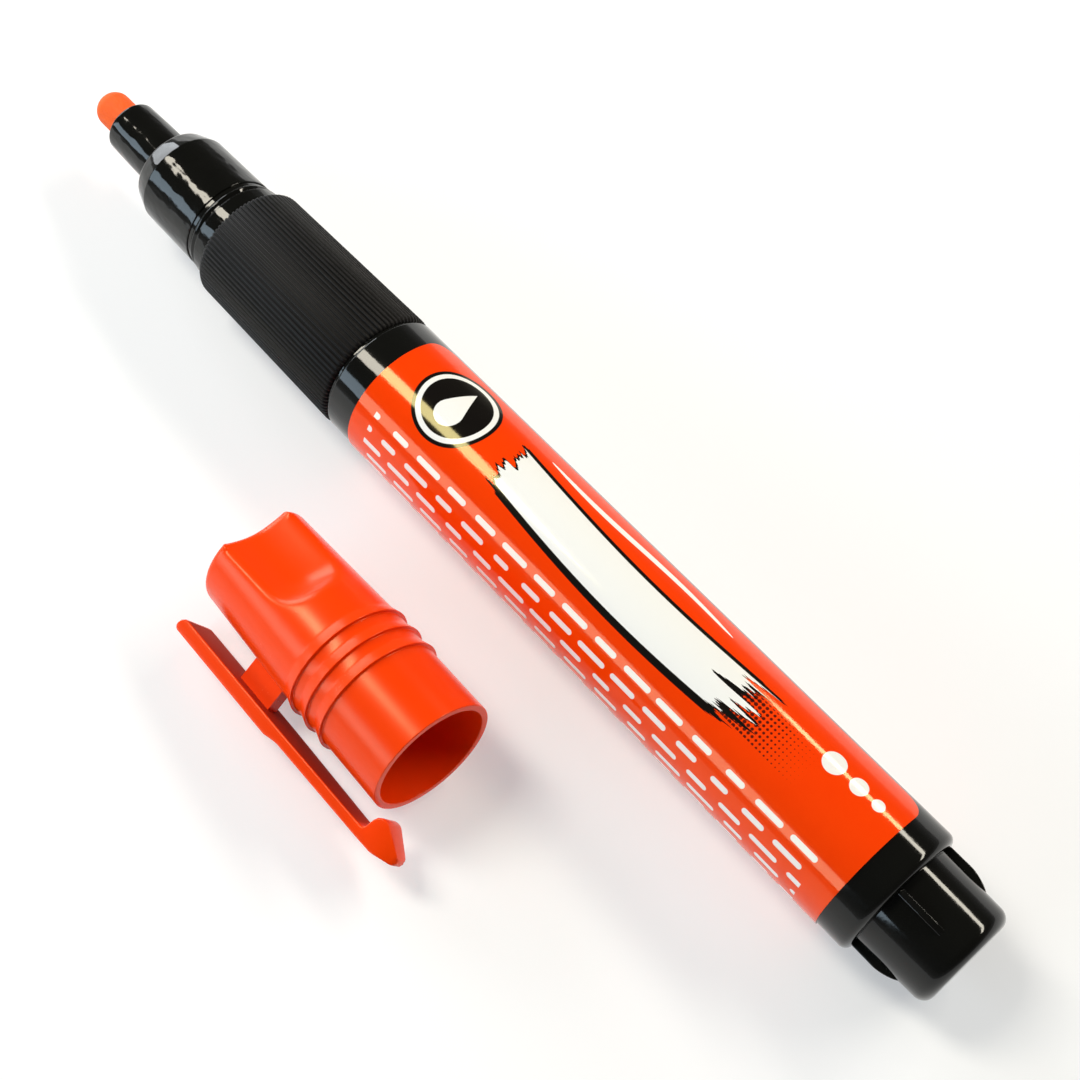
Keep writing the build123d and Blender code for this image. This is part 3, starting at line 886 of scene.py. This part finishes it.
def make_label():
    """A flat sheet with rounded corners, cut into strips and wrapped round the barrel."""
    bm = bmesh.new()
    width = LABEL_WRAP_ANGLE * LABEL_RADIUS
    flat = [(label_front, 0), (label_rear, 0), (label_rear, width), (label_front, width)]
    corners = [bm.verts.new((x, across, 0)) for x, across in flat]
    bm.faces.new(corners)
    rounded(bm, corners, LABEL_CORNER, "VERTICES", segments=10)
    for i in range(1, LABEL_STRIPS):
        cut_across(bm, (0, width * i / LABEL_STRIPS, 0), (0, 1, 0))
    for vert in bm.verts:
        turn = LABEL_TOP_EDGE_ANGLE - vert.co.y / LABEL_RADIUS
        vert.co = (vert.co.x, LABEL_RADIUS * math.sin(turn), LABEL_RADIUS * math.cos(turn))
    bmesh.ops.recalc_face_normals(bm, faces=bm.faces)
    bmesh.ops.solidify(bm, geom=bm.faces[:], thickness=LABEL_THICKNESS)
    finish_piece(bm, "label_wrap", "pen", "label_film", "label_orange", pen_matrix, sharp=30)


def posting_ribs(low):
    """Rounded ribs along the plug's sides, sunk into its wall, which hold a posted cap."""
    ribs = bmesh.new()
    foot = barrel_rear + POSTING_RIB_LENGTH
    side = [
        (barrel_rear, low),
        (barrel_rear, POSTING_RIB_TOP),
        (barrel_rear + POSTING_RIB_STRAIGHT, POSTING_RIB_TOP),
        (foot, PLUG_END_RADIUS),
        (foot, low),
    ]
    verts = [ribs.verts.new((x, -POSTING_RIB_WIDTH / 2, radius)) for x, radius in side]
    ribs.faces.new(verts)
    rounded(ribs, [verts[2]], POSTING_RIB_LENGTH - POSTING_RIB_STRAIGHT, "VERTICES", segments=8)
    drawn_across(ribs, POSTING_RIB_WIDTH)
    bmesh.ops.recalc_face_normals(ribs, faces=ribs.faces)
    sharp_edges = [e for e in ribs.edges if e.calc_face_angle(0) > POSTING_RIB_RIM_ANGLE]
    top_edges = [e for e in sharp_edges if min(v.co.z for v in e.verts) > low]
    rounded(ribs, top_edges, POSTING_RIB_EDGE, "EDGES", segments=3)
    one = everything(ribs)
    for i in range(1, POSTING_RIB_COUNT):
        copy = bmesh.ops.duplicate(ribs, geom=one)["geom"]
        copied = [item for item in copy if isinstance(item, bmesh.types.BMVert)]
        turn = Matrix.Rotation(2 * math.pi * i / POSTING_RIB_COUNT, 3, "X")
        bmesh.ops.rotate(ribs, verts=copied, cent=(0, 0, 0), matrix=turn)
    start = Matrix.Rotation(POSTING_RIB_ANGLE, 3, "X")
    bmesh.ops.rotate(ribs, verts=ribs.verts[:], cent=(0, 0, 0), matrix=start)
    mesh = bpy.data.meshes.new("posting_ribs")
    ribs.to_mesh(mesh)
    ribs.free()
    return mesh


def make_tail():
    """The hollow plug that closes the barrel, with its posting ribs."""
    end_bore = PLUG_END_RADIUS - PLUG_WALL
    skirt_radius = SPIGOT_RADIUS
    corners = [
        (tail_end - PLUG_WALL, 0, 0),
        (tail_end - PLUG_WALL, end_bore, 0),
        (barrel_rear, end_bore, 0),
        (skirt_front, skirt_radius - PLUG_SKIRT_WALL, 0),
        (skirt_front, skirt_radius, 0),
        (barrel_rear, skirt_radius, 0),
        (barrel_rear, PLUG_BASE_RADIUS, 0),
        (tail_end, PLUG_END_RADIUS, PLUG_EDGE),
        (tail_end, 0, 0),
    ]
    bm = turned(corners, segments=8)
    bm.from_mesh(posting_ribs((end_bore + PLUG_END_RADIUS) / 2))
    finish_piece(bm, "tail_end_plug", "pen", "tail_plug", "black_gloss", pen_matrix, sharp=30)


# The cap
def scoop_share(x, turn, radius):
    """Share of its radius that a point of the cap's outside keeps at the nearest finger scoop."""
    nearest = min(abs(turn - SCOOP_ANGLE), abs(turn + SCOOP_ANGLE))
    nearest = min(nearest, abs(turn - SCOOP_ANGLE + 2 * math.pi), abs(turn + SCOOP_ANGLE - 2 * math.pi))
    rise = (SCOOP_FRONT_FLOOR - SCOOP_END_FLOOR) / SCOOP_LENGTH
    floor = SCOOP_END_FLOOR + rise * x
    from_front = SCOOP_LENGTH - x
    if from_front < SCOOP_FRONT_ROUNDING:
        up = SCOOP_FRONT_ROUNDING - from_front
        lift = SCOOP_FRONT_ROUNDING - math.sqrt(max(SCOOP_FRONT_ROUNDING**2 - up**2, 0))
        floor += lift + max(up - SCOOP_FRONT_ROUNDING, 0) * SCOOP_RUNOUT_SLOPE
    centre = floor + SCOOP_CUT_RADIUS
    inner = SCOOP_CUT_RADIUS**2 - (centre * math.sin(nearest)) ** 2
    if inner <= 0 or nearest > SCOOP_REACH_ANGLE:
        limit = radius + SCOOP_BLEND
    else:
        limit = centre * math.cos(nearest) - math.sqrt(inner)
    near = max(SCOOP_BLEND - abs(limit - radius), 0) / SCOOP_BLEND
    drawn = min(limit, radius) - near**2 * SCOOP_BLEND / 4
    return min(drawn / radius, 1.0)


def make_cap_shell():
    """The turned cap with its saw-tooth rings and bores, drawn in at the finger scoops."""
    rings_start = CAP_FIRST_STEP - CAP_RING_WIDTH
    corners = [(0, 0, 0), (0, CAP_END_RADIUS, CAP_END_EDGE)]
    slope = (CAP_RING_BASE_RADIUS - CAP_END_RADIUS) / rings_start
    scoop_end = SCOOP_LENGTH + SCOOP_RUNOUT
    for i in range(1, SCOOP_ROWS):
        x = CAP_END_EDGE + (scoop_end - CAP_END_EDGE) * i / SCOOP_ROWS
        corners.append((x, CAP_END_RADIUS + slope * x, 0))
    for i in range(CAP_RING_STEPS):
        step = CAP_FIRST_STEP + i * CAP_RING_PITCH
        corners += [
            (step - CAP_RING_WIDTH, CAP_RING_BASE_RADIUS, CAP_RING_FOOT_EDGE),
            (step, CAP_RING_RADIUS, CAP_RING_CREST_EDGE),
            (step, CAP_RING_BASE_RADIUS, CAP_RING_STEP_EDGE),
        ]
    seal_rear = cap_bore_end - CAP_SEAL_LENGTH
    corners += [
        (CAP_LENGTH, CAP_MOUTH_RADIUS, CAP_MOUTH_EDGE),
        (CAP_LENGTH, cap_bore_radius, CAP_MOUTH_EDGE),
        (cap_bore_end, cap_bore_radius, 0),
        (cap_bore_end, CAP_SEAL_RADIUS, 0),
        (seal_rear, CAP_SEAL_RADIUS, 0),
        (seal_rear, CAP_TUBE_RADIUS, 0),
        (CAP_LENGTH - CAP_TUBE_DEPTH, CAP_TUBE_RADIUS, 0),
        (CAP_LENGTH - CAP_TUBE_DEPTH, CAP_NIB_RADIUS, 0),
        (CAP_END_WALL, CAP_NIB_RADIUS, 0),
        (CAP_END_WALL, 0, 0),
    ]
    bm = turned(corners, steps=CAP_SPIN_STEPS)
    scooped = []
    for vert in bm.verts:
        x = vert.co.x
        radius = math.hypot(vert.co.y, vert.co.z)
        body = CAP_END_RADIUS + slope * x
        outside = radius > body - CAP_SKIN_SHARE * CAP_END_EDGE or x < CAP_END_EDGE / 2
        if outside and x < scoop_end and radius > 0:
            turn = math.atan2(-vert.co.y, vert.co.z)
            share = scoop_share(x, turn, body)
            vert.co.y *= share
            vert.co.z *= share
            if x > CAP_END_EDGE:
                scooped.append(vert)
    for i in range(SCOOP_SMOOTHING):
        bmesh.ops.smooth_vert(
            bm, verts=scooped, factor=0.5, use_axis_x=True, use_axis_y=True, use_axis_z=True,
        )
    finish_piece(bm, "cap_moulding", "cap", "cap_shell", "cap_orange", cap_matrix, sharp=50)


def clip_half_width(x):
    """Half the clip's width: even along the thumb rest, then narrowing to a rounded tip."""
    pad_end = CLIP_TAIL_START + CLIP_THUMB_LENGTH
    hook = CAP_LENGTH + CLIP_HOOK_START
    end = CAP_LENGTH + CLIP_HOOK_OVERHANG
    if x < pad_end:
        return CLIP_WIDTH / 2
    if x < hook:
        share = (x - pad_end) / (hook - pad_end)
        return (CLIP_WIDTH + (CLIP_HOOK_WIDTH - CLIP_WIDTH) * share) / 2
    share = (x - hook) / (end - hook)
    half = (CLIP_HOOK_WIDTH + (CLIP_TIP_WIDTH - CLIP_HOOK_WIDTH) * share) / 2
    past = min(max(x - end + CLIP_TIP_ROUNDING, 0), CLIP_TIP_ROUNDING)
    return half - CLIP_TIP_ROUNDING + math.sqrt(CLIP_TIP_ROUNDING**2 - past**2)


def make_clip():
    """The clip's side outline drawn across its width, narrowed towards the hook, with rounded edges."""
    bm = bmesh.new()
    inner = CLIP_INNER_RADIUS
    blade = inner + CLIP_BLADE
    thumb = inner + CLIP_THUMB
    crest = inner - CLIP_HOOK_HEIGHT
    start = CLIP_TAIL_START
    pad_end = start + CLIP_THUMB_LENGTH
    hook = CAP_LENGTH + CLIP_HOOK_START
    crest_rear = hook + CLIP_HOOK_RISE
    crest_front = crest_rear + CLIP_HOOK_CREST
    end = CAP_LENGTH + CLIP_HOOK_OVERHANG
    tip_top = blade - CLIP_TIP_DROP
    tip_foot = tip_top - CLIP_TIP_THICKNESS
    side = [
        (start, inner, CLIP_TAIL_ROUNDING),
        (hook, inner, CLIP_CORNER),
        (crest_rear, crest, CLIP_HOOK_ROUNDING),
        (crest_front, crest, CLIP_HOOK_ROUNDING),
        (end, tip_foot, CLIP_CORNER),
        (end, tip_top, CLIP_CORNER),
        (end - CLIP_TIP_LENGTH, blade, CLIP_THUMB_ROUNDING),
        (pad_end + CLIP_THUMB_BLEND, blade, CLIP_THUMB_ROUNDING),
        (pad_end, thumb, CLIP_THUMB_ROUNDING),
        (start, thumb, CLIP_TAIL_OUTER_ROUNDING),
    ]
    verts = [bm.verts.new((x, -CLIP_WIDTH / 2, radius)) for x, radius, rounding in side]
    bm.faces.new(verts)
    places = [vert.co.copy() for vert in verts]
    for i, vert in enumerate(verts):
        before, here, after = places[i - 1], places[i], places[(i + 1) % len(places)]
        reach = side[i][2] * math.tan((here - before).angle(after - here) / 2)
        rounded(bm, [vert], reach, "VERTICES", segments=3)
    drawn_across(bm, CLIP_WIDTH)
    bmesh.ops.recalc_face_normals(bm, faces=bm.faces)
    for x in (pad_end, (pad_end + hook) / 2, hook, (hook + end) / 2, end - CLIP_TIP_ROUNDING):
        cut_across(bm, (x, 0, 0), (1, 0, 0), CLIP_SNAP)
    bmesh.ops.remove_doubles(bm, verts=bm.verts, dist=CLIP_SNAP)
    for vert in bm.verts:
        vert.co.y *= clip_half_width(vert.co.x) / (CLIP_WIDTH / 2)
    rims = [e for e in bm.edges if e.is_manifold and e.calc_face_angle(0) > CLIP_RIM_ANGLE]
    rounded(bm, rims, CLIP_EDGE, "EDGES", segments=4, clamp=True)
    finish_piece(bm, "clip_spring", "clip", "cap_clip", "cap_orange", cap_matrix, finish="clip_orange")


def make_bridge():
    """The web from the cap's side to the clip."""
    bm = bmesh.new()
    rear = BRIDGE_START + BRIDGE_LENGTH
    side = [
        (BRIDGE_START - BRIDGE_LEAN, BRIDGE_FOOT),
        (BRIDGE_START, CLIP_INNER_RADIUS),
        (rear, CLIP_INNER_RADIUS),
        (rear - BRIDGE_LEAN, BRIDGE_FOOT),
    ]
    bm.faces.new([bm.verts.new((x, -BRIDGE_THICKNESS / 2, radius)) for x, radius in side])
    drawn_across(bm, BRIDGE_THICKNESS)
    for row in range(1, BRIDGE_ROWS):
        height = BRIDGE_FOOT + (CLIP_INNER_RADIUS - BRIDGE_FOOT) * row / BRIDGE_ROWS
        cut_across(bm, (0, 0, height), (0, 0, 1))
    bmesh.ops.recalc_face_normals(bm, faces=bm.faces)
    web = finish_piece(bm, "clip_web", None, "clip_bridge", "cap_orange", cap_matrix)
    middle = BRIDGE_START + BRIDGE_LENGTH / 2
    foot = cap_matrix @ Vector((middle, 0, CAP_RING_BASE_RADIUS))
    top = cap_matrix @ Vector((middle, 0, CLIP_INNER_RADIUS))
    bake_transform(web)


def make_spring():
    """The valve's coil, a ring of wire turned about the pen's axis and drawn along it.
    """
    front, rear = span("valve_spring")
    low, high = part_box("valve_spring")
    coil_radius = (high[1] - low[1] - SPRING_WIRE) / 2
    steps = SPRING_TURNS * SPRING_TURN_STEPS
    rise = (rear - front - SPRING_WIRE) / steps
    bm = bmesh.new()
    bmesh.ops.create_circle(bm, segments=12, radius=SPRING_WIRE / 2)
    bmesh.ops.translate(bm, verts=bm.verts, vec=(front + SPRING_WIRE / 2, coil_radius, 0))
    bmesh.ops.spin(
        bm, geom=bm.verts[:] + bm.edges[:], cent=(0, 0, 0), axis=(1, 0, 0), dvec=(rise, 0, 0),
        angle=2 * math.pi * SPRING_TURNS, steps=steps,
        use_merge=False, use_normal_flip=False, use_duplicate=False,
    )
    bmesh.ops.holes_fill(bm, edges=[edge for edge in bm.edges if edge.is_boundary], sides=0)
    closed_up(bm)
    coil = finish_piece(bm, "valve_coil", "pen", "valve_spring", "steel", pen_matrix)
    travel = named(frame["record"]["behaviour"]["joints"], "nib_press")["range_m"][1]
    1 - travel / (rear - front)
    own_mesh(coil)


make_nib()
make_nose()
make_grip()
make_barrel()
make_label()
make_tail()
make_cap_shell()
make_clip()
make_bridge()
make_spring()

# Hidden and plain CAD pieces get their finish
for part in frame["record"]["subparts"]:
    node = frame["nodes"][part["node"]]
    if not node.hide_render:
        node.data.materials.clear()
        node.data.materials.append(finishes[part["material_slot"]])


# Stage, camera and light
def make_floor():
    """Plain white paper, part of whose white is its own so that shadows stay faint."""
    bm = bmesh.new()
    bmesh.ops.create_grid(bm, x_segments=1, y_segments=1, size=FLOOR_SIZE)
    mesh = bpy.data.meshes.new("floor")
    bm.to_mesh(mesh)
    bm.free()
    floor = bpy.data.objects.new("floor", mesh)
    bpy.context.scene.collection.objects.link(floor)
    finish = Finish("floor_paper", Roughness=0.9, Specular_IOR_Level=0.1)
    fibre = finish.noise(900, detail=4)
    finish.put("Base Color", fibre.mixed(rgb(0.94, 0.955, 0.99), rgb(0.95, 0.965, 1.0)))
    seen = finish.light_path("Is Camera Ray")
    seen = seen.most(finish.light_path("Is Glossy Ray")).most(finish.light_path("Is Transmission Ray"))
    glow = finish.node("ShaderNodeEmission", {}, {"Color": rgb(1.0, 1.0, 1.0), "Strength": 1.0})
    paper = Value(finish, finish.shader.outputs[0])
    mixed = finish.node("ShaderNodeMixShader", {}, [seen * FLOOR_GLOW, paper, glow])
    finish.links.new(mixed.socket, finish.nodes["Material Output"].inputs["Surface"])
    floor.data.materials.append(finish.material)


def make_camera():
    """The photograph's camera, placed from the label."""
    low, high = (Vector(corner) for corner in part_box("label_film"))
    target = (low + high) / 2
    target.x = low.x
    data = bpy.data.cameras.new("camera")
    data.lens = CAMERA_LENS
    data.sensor_width = CAMERA_SENSOR
    data.clip_start = CAMERA_NEAR
    camera = bpy.data.objects.new("camera", data)
    camera.location = target + CAMERA_OFFSET
    camera.rotation_euler = CAMERA_BACK.to_track_quat("Z", "Y").to_euler()
    bpy.context.scene.collection.objects.link(camera)
    bpy.context.scene.camera = camera


def make_lamp(name, place, size, radiance, colour, yaw):
    """A rectangular lamp that looks at the model, or straight down where it has a yaw."""
    data = bpy.data.lights.new(name, "AREA")
    data.shape = "RECTANGLE"
    data.size, data.size_y = size
    data.energy = radiance * math.pi * size[0] * size[1]
    data.color = colour
    lamp = bpy.data.objects.new(name, data)
    lamp.location = place
    if yaw is None:
        lamp.rotation_euler = Vector(place).to_track_quat("Z", "Y").to_euler()
    else:
        lamp.rotation_euler = (0, 0, math.radians(yaw))
    lamp.visible_camera = False
    bpy.context.scene.collection.objects.link(lamp)


def make_light():
    """A dim room that is brighter towards the horizon, and the lamps."""
    world = bpy.data.worlds.new("studio")
    sky = NodeTree(world)
    direction = sky.node("ShaderNodeTexCoord", {}, [], output="Generated")
    height = sky.node("ShaderNodeSeparateXYZ", {}, [direction], output=2)
    level = height.levels(*SKY_STOPS)
    sky.links.new(level.socket, sky.nodes["Background"].inputs["Color"])
    bpy.context.scene.world = world
    for name, (place, size, radiance, colour, yaw) in LAMPS.items():
        make_lamp(name, place, size, radiance, colour, yaw)


make_floor()
make_camera()
make_light()
bpy.context.scene.view_settings.view_transform = "Standard"
